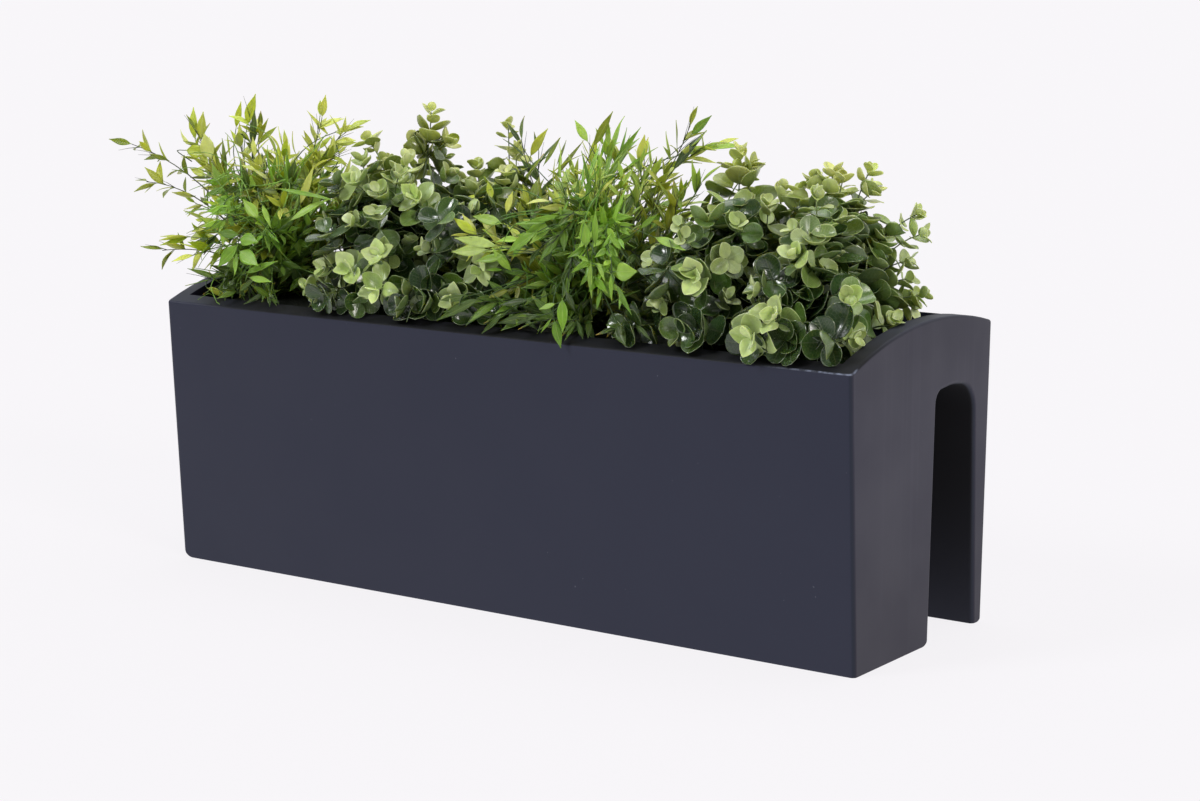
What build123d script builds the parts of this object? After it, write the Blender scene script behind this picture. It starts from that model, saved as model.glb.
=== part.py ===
from build123d import *
import math
import os

os.makedirs("parts", exist_ok=True)

# Balcony planter box that straddles a railing: a hollow moulded shell with an
# arched open top and a slot through its underside. The narrow rear leg hangs
# behind the rail, the deep front leg is the planting trough. A lift-out
# planting of foam blocks and artificial bushes fills it.
#
# Frame: X along the length, +Y towards the rear leg, +Z up. The origin lies on
# the flat underside of the front leg, at mid-length and mid-depth of the box.

# ---------------------------------------------------------------- dimensions
half = 399.0                # half length

front_bottom_y = -117.6     # front wall leans outward to the rim
front_top_y = -132.0
front_top_z = 270.0
back_bottom_y = 124.6
back_top_y = 131.6
back_top_z = 286.0

arch_y = 23.0               # centre of the arch that all rims follow
arch_z = -116.5
arch_r = 416.0              # crest of the rim at z = 299.5

slot_front_bottom_y = 19.0  # rail slot, open below and at both ends
slot_front_top = (25.2, 231.5)
slot_crown = (57.0, 234.4)
slot_back_top = (97.3, 229.5)
slot_back_bottom_y = 106.7
slot_front_r = 12.0
slot_crown_r = 60.0
slot_back_r = 28.0

leg_rear_r = 12.0           # rear bottom corner of the front leg
rear_leg_r = 10.0           # back bottom corner of the rear leg
upright_r = 4.5             # soft upright corners of the box
rim_r = 3.0                 # outer edge of the rim
slot_mouth_r = 4.5          # soft mouth of the slot in both end faces
left_corner_r = 13.0        # bottom edge at the left end

wall = 5.0
lip_depth = 14.0            # thickened rim
mouth_front_y = -116.5
mouth_back_y = 116.0
mouth_half = 381.5

drain_x = 200.0
drain_y = -50.0
drain_r = 8.0

foam_half = 378.0
foam_split = 126.0
foam_front_bottom_y = -110.0
foam_front_top_y = -114.0
foam_rear_bottom_y = 12.0
foam_rear_top_y = 17.0
foam_back_y = 113.5
foam_bottom_z = 5.3
foam_shelf_z = 241.5
foam_below_rim = 27.0
channel_width = 56.0
channel_top_z = 42.0
foam_gap = 0.5


# ---------------------------------------------------------------- helpers
def prism(points, radii, x0, x1):
    """Closed outline in Y and Z, rounded at its corners, extruded from x0 to x1."""
    wire = FilletPolyline(*points, radius=radii, close=True)
    face = Plane((x0, 0, 0), x_dir=(0, 1, 0), z_dir=(1, 0, 0)) * make_face(wire)
    return extrude(face, x1 - x0)


def under_arch(r, x0, x1):
    """Cylinder along X around the rim arch's centre line."""
    c = Cylinder(r, x1 - x0, align=(Align.CENTER, Align.CENTER, Align.MIN))
    return Pos(x0, arch_y, arch_z) * (Rot(0, 90, 0) * c)


def front_y(z):
    return front_bottom_y + (front_top_y - front_bottom_y) * z / front_top_z


def back_y(z):
    return back_bottom_y + (back_top_y - back_bottom_y) * z / back_top_z


def keep(shape):
    """The one solid of a result."""
    solids = shape.solids()
    assert len(solids) == 1, len(solids)
    return solids[0]


# ---------------------------------------------------------------- shell
above, below = 330.0, -15.0


def slot_y(bottom_y, corner, z):
    return bottom_y + (corner[0] - bottom_y) * z / corner[1]


def at(edge):
    return edge.center(CenterOf.BOUNDING_BOX)


# Outer form, drawn on past the floor so that the soft edges run straight down,
# then cut flat at the floor.
outline = [
    (front_y(below), below),
    (front_y(above), above),
    (back_y(above), above),
    (back_y(below), below),
    (slot_y(slot_back_bottom_y, slot_back_top, below), below),
    slot_back_top,
    slot_crown,
    slot_front_top,
    (slot_y(slot_front_bottom_y, slot_front_top, below), below),
]
outline_r = [0.0, 0.0, 0.0, 0.0, 0.0, slot_back_r, slot_crown_r, slot_front_r, 0.0]
body = prism(outline, outline_r, -half, half)
body = keep(body & under_arch(arch_r, -half - 30, half + 30))
uprights = [
    e
    for e in body.edges()
    if abs(at(e).X) > half - 1 and abs(at(e).Y) > 110 and e.bounding_box().size.Z > 200
]
body = keep(fillet(uprights, upright_r))
rim_loop = [
    e
    for e in body.edges()
    if all(
        abs(math.hypot(v.Y - arch_y, v.Z - arch_z) - arch_r) < 0.05 and v.Z > 200
        for v in e.vertices()
    )
]
body = keep(fillet(rim_loop, rim_r))
slot_mouths = [
    e
    for e in body.edges()
    if abs(at(e).X) > half - 0.1
    and 10 < at(e).Y < 110
    and below + 1 < at(e).Z < 240
]
body = keep(fillet(slot_mouths, slot_mouth_r))
print("outer form", body.is_valid)


def corner_cut(apex, a, b, r, along, span):
    """What a rounded corner takes away. apex and the two wall directions are in
    the plane across the edge, and the edge runs along X or Y."""
    av, bv = Vector(*a, 0).normalized(), Vector(*b, 0).normalized()
    half_angle = math.radians(av.get_angle(bv)) / 2
    t = r / math.tan(half_angle)
    p = Vector(*apex, 0)
    centre = p + (av + bv).normalized() * (r / math.sin(half_angle))
    ta, tb = p + av * t, p + bv * t
    mid = centre + (p - centre).normalized() * r
    out = (p - centre).normalized() * 12.0
    edges = [
        ThreePointArc(ta, mid, tb),
        Line(tb, tb + out),
        Line(tb + out, ta + out),
        Line(ta + out, ta),
    ]
    if along == "X":
        plane = Plane((span[0], 0, 0), x_dir=(0, 1, 0), z_dir=(1, 0, 0))
    else:
        plane = Plane((0, span[1], 0), x_dir=(1, 0, 0), z_dir=(0, -1, 0))
    return extrude(plane * make_face(edges), span[1] - span[0])


long = (-half - 5, half + 5)
body = keep(body - Pos(0, 0, -50) * Box(900, 400, 100))
slope_f = (slot_front_top[0] - slot_front_bottom_y, slot_front_top[1])
body = keep(
    body
    - corner_cut((slot_front_bottom_y, 0), (-1, 0), slope_f, leg_rear_r, "X", long)
)
slope_b = (back_top_y - back_bottom_y, back_top_z)
body = keep(
    body - corner_cut((back_bottom_y, 0), (-1, 0), slope_b, rear_leg_r, "X", long)
)
body = keep(
    body - corner_cut((-half, 0), (1, 0), (0, 1), left_corner_r, "Y", (-150, 150))
)
print("feet", body.is_valid, round(body.volume))

# Cavity: the trough in the front leg, the space over the saddle, and the
# narrow hollow of the rear leg, all one wall thickness inside the outer form.
# It stops below the rim, which stays as a thick inward lip around the mouth.
slot_in = slot_front_top[0] - wall
cavity = [
    (front_y(wall) + wall + 0.2, wall),
    (front_y(above) + wall + 0.2, above),
    (back_y(above) - wall, above),
    (back_y(24.0) - wall, 24.0),
    (slot_y(slot_back_bottom_y, slot_back_top, 24.0) + wall, 24.0),
    (slot_back_top[0] + wall, slot_back_top[1] + 4.0),
    (slot_crown[0], slot_crown[1] + wall),
    (slot_in, slot_front_top[1] + wall),
    (slot_front_bottom_y - wall, wall),
]
cavity_r = [8.0, 0.0, 0.0, 2.5, 2.5, 30.0, 60.0, 14.0, 8.0]
hollow = prism(cavity, cavity_r, -half + wall, half - wall)
hollow = keep(hollow & under_arch(arch_r - lip_depth, -half, half))
mouth = Pos(0, (mouth_front_y + mouth_back_y) / 2, 300) * Box(
    2 * mouth_half, mouth_back_y - mouth_front_y, 130
)
shell = keep(body - hollow - mouth)
for x in (-drain_x, drain_x):
    shell = keep(shell - Pos(x, drain_y, 0) * Cylinder(drain_r, 60))
print("shell", shell.is_valid, round(shell.volume))
export_step(shell, "parts/planter_shell.step")


# ---------------------------------------------------------------- drain plugs
# Rubber stopper dropped in from inside: a stem in the hole, a flange on the
# trough floor and a finger tab to pull it by.
plug_stem_r = drain_r - 0.3
plug_flange_r = 13.0
plug_flange_h = 3.0
plug_gap = 0.1
tab_width, tab_thick, tab_top = 10.0, 3.6, 18.0


def plug(x):
    stem = Pos(0, 0, 0.8) * Cylinder(
        plug_stem_r,
        wall + plug_gap - 0.8,
        align=(Align.CENTER, Align.CENTER, Align.MIN),
    )
    flange = Pos(0, 0, wall + plug_gap) * Cylinder(
        plug_flange_r, plug_flange_h, align=(Align.CENTER, Align.CENTER, Align.MIN)
    )
    flange = fillet(flange.edges().group_by(Axis.Z)[-1], 1.0)
    base = wall + plug_gap + plug_flange_h
    tab = Pos(0, 0, base) * Box(
        tab_width,
        tab_thick,
        tab_top - base,
        align=(Align.CENTER, Align.CENTER, Align.MIN),
    )
    tab = fillet(tab.edges().filter_by(Axis.Y).group_by(Axis.Z)[-1], 4.0)
    hole = Pos(0, 0, tab_top - 5.0) * (Rot(90, 0, 0) * Cylinder(2.0, 20))
    return Pos(x, drain_y, 0) * keep(stem + flange + (tab - hole))


export_step(plug(-drain_x), "parts/drain_plug_left.step")
export_step(plug(drain_x), "parts/drain_plug_right.step")

# ---------------------------------------------------------------- foam blocks
# Three dry-foam blocks side by side. Each fills the trough, with a drainage
# channel along its underside, and reaches back over the saddle. It clears the
# lip all the way up, so that the planting lifts out.
foam_r = arch_r - foam_below_rim
foam_outline = [
    (foam_front_bottom_y, foam_bottom_z),
    (foam_front_top_y, 300.0),
    (foam_back_y, 300.0),
    (foam_back_y, foam_shelf_z),
    (foam_rear_top_y, foam_shelf_z),
    (foam_rear_bottom_y, foam_bottom_z),
    (drain_y + channel_width / 2, foam_bottom_z),
    (drain_y + channel_width / 2 - 4, channel_top_z),
    (drain_y - channel_width / 2 + 4, channel_top_z),
    (drain_y - channel_width / 2, foam_bottom_z),
]
foam_corner_r = [10.0, 0.0, 0.0, 3.0, 6.0, 10.0, 0.0, 10.0, 10.0, 0.0]


def foam(x0, x1):
    block = prism(foam_outline, foam_corner_r, x0, x1)
    return keep(block & under_arch(foam_r, x0 - 1, x1 + 1))


foam_blocks = {
    "foam_block_left": foam(-foam_half, -foam_split - foam_gap / 2),
    "foam_block_middle": foam(-foam_split + foam_gap / 2, foam_split - foam_gap / 2),
    "foam_block_right": foam(foam_split + foam_gap / 2, foam_half),
}
for name, block in foam_blocks.items():
    export_step(block, f"parts/{name}.step")

# ---------------------------------------------------------------- bushes
# Each artificial bush is a moulded stem spray, whose pick is pushed into the
# foam over the trough, and a crown of leaves clipped to it. A crown is the
# closed outline of its leaves: it hangs just clear of the rim, and dips into
# the mouth down to the foam.
crown_gap = 1.0
rim_clear = 1.5
space = Pos(0, 0, 400) * Box(1200, 460, 500) - under_arch(
    arch_r + rim_clear, -620, 620
)
neck = Pos(0, (mouth_front_y + mouth_back_y) / 2, 300) * Box(
    2 * mouth_half - 5, mouth_back_y - mouth_front_y - 5, 130
) - under_arch(foam_r + 0.5, -half, half)
space = keep(space + neck)


def ellipsoid(centre, radii):
    return Pos(*centre) * scale(Sphere(1.0), by=radii)


def crown(lobes, x0, x1):
    shape = ellipsoid(*lobes[0])
    for lobe in lobes[1:]:
        shape = shape + ellipsoid(*lobe)
    slab = Pos((x0 + x1) / 2, 0, 400) * Box(x1 - x0 - crown_gap, 500, 600)
    parts = (shape & slab & space).solids()
    return max(parts, key=lambda s: s.volume)


def rod(p0, p1, r0, r1):
    a, b = Vector(*p0), Vector(*p1)
    cone = Cone(r0, r1, (b - a).length, align=(Align.CENTER, Align.CENTER, Align.MIN))
    return Plane(origin=a, z_dir=b - a) * cone


def spray(foot, tips):
    """Pick in the foam, a collar on top of it, and one rod to each tip."""
    x, y = foot
    z_foam = arch_z + math.sqrt(foam_r**2 - (y - arch_y) ** 2)
    low, high = (x, y, z_foam - 70.0), (x, y, z_foam + 6.0)
    shape = rod(low, high, 2.5, 5.0) + Pos(*high) * Sphere(5.2)
    for tip in tips:
        shape = shape + rod(high, tip, 2.2, 1.1) + Pos(*tip) * Sphere(1.3)
    return keep(shape)


bushes = {
    "bamboo_left": (
        (-335.0, -40.0),
        [
            ((-350, -12, 358), (96, 118, 112)),
            ((-430, -60, 382), (80, 52, 58)),
        ],
        (-640, -257),
        [(-455, -80, 400), (-425, -85, 325), (-395, -20, 440), (-350, -60, 445),
         (-300, -20, 430), (-330, 60, 420), (-300, -90, 340), (-385, 55, 370)],
    ),
    "eucalyptus_left": (
        (-172.0, -45.0),
        [
            ((-175, -18, 348), (98, 120, 108)),
            ((-160, -10, 400), (46, 60, 66)),
        ],
        (-257, -94),
        [(-225, -60, 350), (-190, -95, 300), (-150, -20, 440), (-130, -90, 330),
         (-190, 60, 400), (-125, 60, 380)],
    ),
    "eucalyptus_middle": (
        (-60.0, -15.0),
        [
            ((-58, -16, 342), (74, 118, 96)),
            ((-62, 30, 390), (40, 60, 58)),
        ],
        (-94, -24),
        [(-80, -90, 300), (-50, -60, 370), (-70, 50, 425), (-40, 70, 380)],
    ),
    "bamboo_middle": (
        (62.0, -45.0),
        [
            ((66, -18, 350), (112, 122, 112)),
            ((112, 12, 410), (50, 50, 66)),
        ],
        (-24, 162),
        [(0, -90, 330), (20, -20, 440), (60, -95, 350), (95, -30, 445),
         (135, 10, 440), (120, -80, 320), (60, 70, 400), (140, 70, 370)],
    ),
    "eucalyptus_right": (
        (205.0, -45.0),
        [
            ((214, -16, 344), (84, 122, 98)),
            ((214, -20, 400), (48, 60, 48)),
        ],
        (162, 284),
        [(175, -95, 310), (200, -20, 430), (235, -95, 330), (265, -30, 400),
         (185, 60, 390), (260, 65, 370)],
    ),
    "eucalyptus_end": (
        (325.0, -30.0),
        [
            ((322, -12, 340), (86, 120, 92)),
            ((318, 0, 388), (50, 60, 50)),
        ],
        (284, 460),
        [(300, -95, 320), (310, -10, 420), (360, -60, 340), (375, 20, 350),
         (350, 70, 380), (300, 70, 370)],
    ),
}
for name, (foot, lobes, (x0, x1), tips) in bushes.items():
    c = crown(lobes, x0, x1)
    s = spray(foot, tips)
    b = c.bounding_box()
    print(
        name,
        c.is_valid,
        s.is_valid,
        round(c.volume),
        [round(v) for v in (b.min.X, b.max.X, b.min.Y, b.max.Y, b.min.Z, b.max.Z)],
    )
    export_step(c, f"parts/{name}_foliage.step")
    export_step(s, f"parts/{name}_stems.step")
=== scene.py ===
import math

import bpy
import numpy as np
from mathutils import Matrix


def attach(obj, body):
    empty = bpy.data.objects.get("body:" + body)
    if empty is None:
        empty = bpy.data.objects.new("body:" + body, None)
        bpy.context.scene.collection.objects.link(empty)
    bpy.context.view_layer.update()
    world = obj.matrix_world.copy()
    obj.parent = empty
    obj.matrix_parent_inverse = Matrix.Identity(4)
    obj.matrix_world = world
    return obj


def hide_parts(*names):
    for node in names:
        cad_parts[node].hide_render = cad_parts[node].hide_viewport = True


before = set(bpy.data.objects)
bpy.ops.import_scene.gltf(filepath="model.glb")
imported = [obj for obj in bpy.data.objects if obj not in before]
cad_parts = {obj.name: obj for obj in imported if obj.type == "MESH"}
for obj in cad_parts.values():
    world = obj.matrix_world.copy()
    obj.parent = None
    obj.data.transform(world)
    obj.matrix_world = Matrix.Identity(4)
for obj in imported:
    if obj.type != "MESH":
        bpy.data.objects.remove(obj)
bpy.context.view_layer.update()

# ------------------------------------------------------------------ camera
cam_data = bpy.data.cameras.new("camera")
cam_data.sensor_width = 36.0
cam_data.lens = 2616.6 * 36.0 / 1200.0
cam_data.clip_end = 200.0
cam = bpy.data.objects.new("camera", cam_data)
cam.location = (1.4753, -2.0441, 0.6363)
cam.rotation_euler = (math.radians(90.0 - 10.09), 0.0, math.radians(34.94))
bpy.context.scene.collection.objects.link(cam)
bpy.context.scene.camera = cam
bpy.context.scene.view_settings.view_transform = "Standard"
bpy.context.scene.view_settings.look = "None"


# ------------------------------------------------------------------ node help
class Mat:
    """A material's node tree, with short calls to add nodes and link them."""

    def __init__(self, name):
        self.m = bpy.data.materials.new(name)
        self.m.use_nodes = True
        self.t = self.m.node_tree
        self.b = self.t.nodes["Principled BSDF"]
        self.out = self.t.nodes["Material Output"]

    def node(self, kind, **props):
        n = self.t.nodes.new(kind)
        for k, v in props.items():
            setattr(n, k, v)
        return n

    def put(self, socket, value):
        if isinstance(value, bpy.types.NodeSocket):
            self.t.links.new(value, socket)
        else:
            socket.default_value = value

    def math(self, op, a, b=None, c=None, clamp=False):
        n = self.node("ShaderNodeMath", operation=op, use_clamp=clamp)
        for s, v in zip(n.inputs, (a, b, c)):
            if v is not None:
                self.put(s, v)
        return n.outputs[0]

    def ramp(self, x, lo, hi, a=0.0, b=1.0, smooth=True):
        n = self.node(
            "ShaderNodeMapRange",
            interpolation_type="SMOOTHSTEP" if smooth else "LINEAR",
        )
        for s, v in zip(n.inputs, (x, lo, hi, a, b)):
            self.put(s, v)
        return n.outputs[0]

    def mix(self, fac, a, b, blend="MIX"):
        n = self.node("ShaderNodeMix", data_type="RGBA", blend_type=blend)
        self.put(n.inputs[0], fac)
        self.put(n.inputs[6], a)
        self.put(n.inputs[7], b)
        return n.outputs[2]

    def noise(self, vec, scale, detail=3.0, rough=0.55, distortion=0.0):
        n = self.node("ShaderNodeTexNoise")
        if vec is not None:
            self.put(n.inputs["Vector"], vec)
        n.inputs["Scale"].default_value = scale
        n.inputs["Detail"].default_value = detail
        n.inputs["Roughness"].default_value = rough
        n.inputs["Distortion"].default_value = distortion
        return n.outputs["Fac"]

    def coords(self, scale=(1, 1, 1), loc=(0, 0, 0)):
        tc = self.node("ShaderNodeTexCoord")
        mp = self.node("ShaderNodeMapping")
        mp.inputs["Scale"].default_value = scale
        mp.inputs["Location"].default_value = loc
        self.t.links.new(tc.outputs["Object"], mp.inputs["Vector"])
        return mp.outputs["Vector"]

    def bump(self, height, strength, distance, normal=None):
        n = self.node("ShaderNodeBump")
        n.inputs["Strength"].default_value = strength
        n.inputs["Distance"].default_value = distance
        self.put(n.inputs["Height"], height)
        if normal is not None:
            self.put(n.inputs["Normal"], normal)
        return n.outputs["Normal"]

    def set(self, **sockets):
        for k, v in sockets.items():
            self.put(self.b.inputs[k.replace("_", " ")], v)


def rgb(r, g, b):
    """Linear colour from 0 to 255 screen values."""
    f = lambda c: c / 255 / 12.92 if c / 255 <= 0.04045 else ((c / 255 + 0.055) / 1.055) ** 2.4
    return (f(r), f(g), f(b), 1.0)


# ------------------------------------------------------------------ shell
def shell_material():
    """Satin anthracite gel coat: fine orange peel, faint clouds and streaks, ends painted
    lighter as painted light, painted shade on the upright corners, the rim's top and inside the slot, a front edge
    painted pale as highlight and wear, and specks."""
    s = Mat("anthracite_gel_coat")
    p = s.coords()
    pos = s.node("ShaderNodeSeparateXYZ")
    s.put(pos.inputs[0], p)
    px, py, pz = pos.outputs
    nrm = s.node("ShaderNodeSeparateXYZ")
    tcn = s.node("ShaderNodeTexCoord")
    s.put(nrm.inputs[0], tcn.outputs["Normal"])
    nx, ny, nz = nrm.outputs
    cloud = s.noise(p, 4.0, 2.0, 0.5)
    streak = s.noise(s.coords(scale=(120, 120, 1.6)), 1.0, 2.0, 0.5)
    broad = s.noise(s.coords(scale=(22, 22, 1.0)), 1.0, 1.0, 0.5)
    base = s.mix(cloud, rgb(34, 37, 54), rgb(37, 40, 57))
    # painted light: the end faces get a lighter, warmer copy of the coat, with faint streaks, for the stronger light
    # falling on them; it is painted darker towards the bottom and slightly darker near the top as painted shade
    end_faces_lit = s.mix(cloud, rgb(33, 32, 48), rgb(37, 36, 52))
    end_faces_lit = s.mix(s.ramp(streak, 0.52, 0.85, 0.0, 0.7), end_faces_lit, rgb(50, 49, 63))
    end_faces_lit = s.mix(s.ramp(broad, 0.35, 0.75, 0.0, 0.5), end_faces_lit, rgb(43, 42, 56))
    end_faces_lit = s.mix(s.ramp(pz, 0.01, 0.20, 0.6, 0.0), end_faces_lit, rgb(21, 18, 34))
    end_faces_lit = s.mix(s.ramp(pz, 0.22, 0.29, 0.0, 0.3), end_faces_lit, rgb(26, 25, 37))
    side = s.math("ABSOLUTE", nx)
    base = s.mix(s.ramp(side, 0.5, 0.95), base, end_faces_lit)
    # painted shade: the rounded upright corners are painted bluer and darker than the faces they join
    corner_shade = s.math("MULTIPLY", s.ramp(side, 0.25, 0.5), s.ramp(side, 0.97, 0.8))
    corner_shade = s.math("MULTIPLY", corner_shade, s.ramp(nz, 0.5, 0.1))
    base = s.mix(s.math("MULTIPLY", corner_shade, 0.7), base, rgb(20, 27, 42))
    # painted shade on the rim's top, where the foliage shades it, broken up by noise; none at the left end, and a lit
    # patch left on the right end away from the front corner
    top = s.math("MULTIPLY", s.ramp(nz, 0.12, 0.55), s.ramp(pz, 0.24, 0.26))
    far = s.ramp(px, -0.375, -0.29)
    top = s.math("MULTIPLY", top, far)
    right_end_lit = s.math("MULTIPLY", s.ramp(px, 0.374, 0.388), s.ramp(py, -0.115, -0.03))
    top = s.math("MULTIPLY", top, s.math("SUBTRACT", 1.0, s.math("MULTIPLY", right_end_lit, 0.75)))
    shade_breakup = s.ramp(s.noise(p, 60.0, 3.0), 0.3, 0.7, 0.86, 1.0)
    base = s.mix(s.math("MULTIPLY", top, shade_breakup), base, rgb(5, 6, 8))
    # inside the slot the coat is rougher, and painted nearly black as painted shade in the recess
    slot = s.math("MULTIPLY", s.ramp(py, 0.012, 0.026), s.ramp(py, 0.114, 0.100))
    slot = s.math("MULTIPLY", slot, s.ramp(pz, 0.246, 0.232))
    slot = s.math("MULTIPLY", slot, s.ramp(side, 0.80, 0.25))
    base = s.mix(slot, base, rgb(17, 17, 22))
    # the rim's front edge is painted pale near the front-right corner: a painted highlight together with rubbed wear
    edge = s.math("MULTIPLY", s.ramp(nz, 0.18, 0.42), s.ramp(nz, 0.86, 0.62))
    edge = s.math("MULTIPLY", edge, s.math("MULTIPLY", s.ramp(px, 0.29, 0.385), s.ramp(py, -0.118, -0.126)))
    edge = s.math("MULTIPLY", edge, s.ramp(s.noise(p, 130.0, 3.0), 0.38, 0.62, 0.15, 1.0))
    base = s.mix(s.math("MULTIPLY", edge, 0.8), base, rgb(122, 130, 150))
    speck = s.ramp(s.noise(p, 210.0, 1.0), 0.80, 0.84)
    base = s.mix(s.math("MULTIPLY", speck, 0.6), base, rgb(96, 98, 110))
    s.set(Base_Color=base)
    rough = s.ramp(s.noise(p, 9.0, 3.0), 0.3, 0.7, 0.40, 0.50)
    rough = s.math("ADD", rough, s.math("MULTIPLY", top, 0.3))
    rough = s.math("ADD", rough, s.math("MULTIPLY", slot, 0.4))
    s.set(Roughness=rough)
    s.b.inputs["Specular IOR Level"].default_value = 0.28
    peel = s.noise(p, 900.0, 2.0)
    wave = s.noise(p, 14.0, 1.0)
    n = s.bump(peel, 0.05, 0.0003)
    n = s.bump(wave, 0.12, 0.002, n)
    s.set(Normal=n)
    return s.m


def dress(node, material, slot_name=None):
    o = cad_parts[node]
    o.data.materials.clear()
    o.data.materials.append(material)
    for sl in o.material_slots:
        sl.link = "DATA"
        sl.material = material
    return o


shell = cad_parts["planter_shell"]
m_shell = shell_material()
for sl in shell.material_slots:
    sl.material = m_shell


def foam_material():
    """Dark open-cell dry foam: fine pores, crumbs and scuffs."""
    s = Mat("dark_dry_foam")
    p = s.coords()
    v = s.node("ShaderNodeTexVoronoi", feature="F1")
    s.put(v.inputs["Vector"], p)
    v.inputs["Scale"].default_value = 420.0
    cells = v.outputs["Distance"]
    big = s.noise(p, 30.0, 4.0)
    base = s.mix(s.ramp(cells, 0.1, 0.6), rgb(14, 16, 13), rgb(36, 40, 31))
    base = s.mix(s.ramp(big, 0.45, 0.75), base, rgb(48, 50, 36))
    s.set(Base_Color=base, Roughness=0.92)
    n = s.bump(cells, 0.5, 0.0008)
    n = s.bump(big, 0.5, 0.003, n)
    s.set(Normal=n)
    return s.m


def rubber_material():
    s = Mat("black_rubber")
    p = s.coords()
    g = s.noise(p, 700.0, 2.0)
    base = s.mix(s.noise(p, 60.0, 2.0), rgb(18, 18, 19), rgb(30, 30, 31))
    s.set(Base_Color=base)
    s.set(Roughness=s.ramp(g, 0.3, 0.7, 0.5, 0.66))
    s.set(Normal=s.bump(g, 0.2, 0.0002))
    return s.m


m_foam = foam_material()
for n in ("foam_block_left", "foam_block_middle", "foam_block_right"):
    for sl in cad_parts[n].material_slots:
        sl.material = m_foam
m_rubber = rubber_material()
for n in ("drain_plug_left", "drain_plug_right"):
    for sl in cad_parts[n].material_slots:
        sl.material = m_rubber


# ------------------------------------------------------------------ leaves
RIM_Y, RIM_Z, RIM_R = 23.0, -116.5, 416.0  # centre and radius of the rim's arch, mm
FOAM_R = 389.0


def rim_z(y):
    return RIM_Z + np.sqrt(np.maximum(RIM_R**2 - (y - RIM_Y) ** 2, 1.0))


def foam_z(y):
    return RIM_Z + np.sqrt(np.maximum(FOAM_R**2 - (y - RIM_Y) ** 2, 1.0))


def template(rows, across):
    """Closed leaf sheet on a grid of v rows and u columns: its u, v and side of each
    point, and its faces."""
    rows, across = np.array(rows), np.array(across)
    nr, nc = len(rows), len(across)
    v, u = np.meshgrid(rows, across, indexing="ij")
    u, v = u.ravel(), v.ravel()
    k = nr * nc
    idx = lambda i, j, s: i * nc + j + s * k
    faces = []
    for i in range(nr - 1):
        for j in range(nc - 1):
            a, b, c, d = idx(i, j, 0), idx(i, j + 1, 0), idx(i + 1, j + 1, 0), idx(i + 1, j, 0)
            faces.append((a, b, c, d))
            faces.append((d + k, c + k, b + k, a + k))
    loop = [(0, j) for j in range(nc - 1)] + [(i, nc - 1) for i in range(nr - 1)]
    loop += [(nr - 1, j) for j in range(nc - 1, 0, -1)] + [(i, 0) for i in range(nr - 1, 0, -1)]
    for n, (i, j) in enumerate(loop):
        i2, j2 = loop[(n + 1) % len(loop)]
        faces.append((idx(i2, j2, 0), idx(i, j, 0), idx(i, j, 1), idx(i2, j2, 1)))
    return dict(
        u=np.r_[u, u],
        v=np.r_[v, v],
        side=np.r_[np.ones(k), -np.ones(k)],
        faces=np.array(faces),
    )


T_ROUND = template(
    [0, 0.07, 0.12, 0.18, 0.28, 0.42, 0.57, 0.72, 0.85, 0.94, 1.0],
    [-1, -0.88, -0.5, 0, 0.5, 0.88, 1],
)
T_LANCE = template(
    [0, 0.06, 0.14, 0.24, 0.37, 0.52, 0.67, 0.81, 0.92, 1.0], [-1, -0.55, 0, 0.55, 1]
)


def half_width(kind, v, point=0.0):
    if kind == "round":
        t = np.clip((v - 0.11) / 0.89, 0, 1)
        w = np.sqrt(np.clip(1 - (2 * t**1.18 - 1) ** 2, 0, 1))
        sharp = np.sin(np.pi * t**0.80) ** 0.85 * (1.06 - 0.30 * t)
        w = w + (sharp - w) * point
        stalk = 0.030
    else:
        t = np.clip((v - 0.05) / 0.95, 0, 1)
        w = np.sin(np.pi * t**0.82) ** 1.15 * (1 - 0.10 * t)
        stalk = 0.07
    return np.maximum(w, stalk)


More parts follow.
